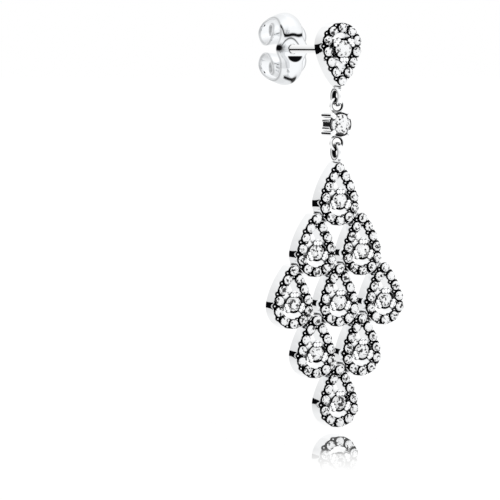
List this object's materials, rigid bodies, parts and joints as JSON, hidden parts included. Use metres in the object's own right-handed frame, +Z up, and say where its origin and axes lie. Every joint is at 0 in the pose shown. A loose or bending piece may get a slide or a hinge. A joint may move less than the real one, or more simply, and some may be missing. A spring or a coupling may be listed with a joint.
{
  "type": "chandelier earring",
  "caption": "Chandelier earring: pave pear stud on a post with butterfly clutch, square-claw link and a hanging lattice of stone-set pears.",
  "frame": {"origin": "on the post's axis at the back face of the stud, where it lies against the ear lobe; it hangs by the post, so the origin is the mount ear_lobe", "axes": "-Y the decorated front, +Y back along the post, +Z up as worn, +X to the right seen from the front"},
  "size_m": [0.0152, 0.0146, 0.0423],
  "materials": {
    "polished_silver": "polished sterling silver, with the small set stones of the bands",
    "clear_stone": "cut and polished clear stone"
  },
  "bodies": {
    "stud": {"stud_frame_with_post": "polished_silver", "stud_stone": "clear_stone"},
    "connector": {"connector_setting": "polished_silver", "connector_stone": "clear_stone"},
    "drop": {"drop_frame": "polished_silver", "drop_stone_1": "clear_stone", "drop_stone_2": "clear_stone", "drop_stone_3": "clear_stone", "drop_stone_4": "clear_stone", "drop_stone_5": "clear_stone", "drop_stone_6": "clear_stone", "drop_stone_7": "clear_stone", "drop_stone_8": "clear_stone", "drop_stone_9": "clear_stone"},
    "clutch": {"butterfly_clutch": "polished_silver"}
  },
  "joints": [
    {"name": "connector_swing", "type": "hinge", "parent": "stud", "child": "connector", "pos_m": [0, -0.0005, -0.00501], "axis": [1, 0, 0], "range_deg": [-60, 60]},
    {"name": "drop_swing", "type": "hinge", "parent": "connector", "child": "drop", "pos_m": [0, -0.0005, -0.00965], "axis": [0, 1, 0], "range_deg": [-60, 60]},
    {"name": "clutch_slide", "type": "slide", "parent": "stud", "child": "clutch", "axis": [0, 1, 0], "range_m": [-0.0075, 0.0035]}
  ]
}
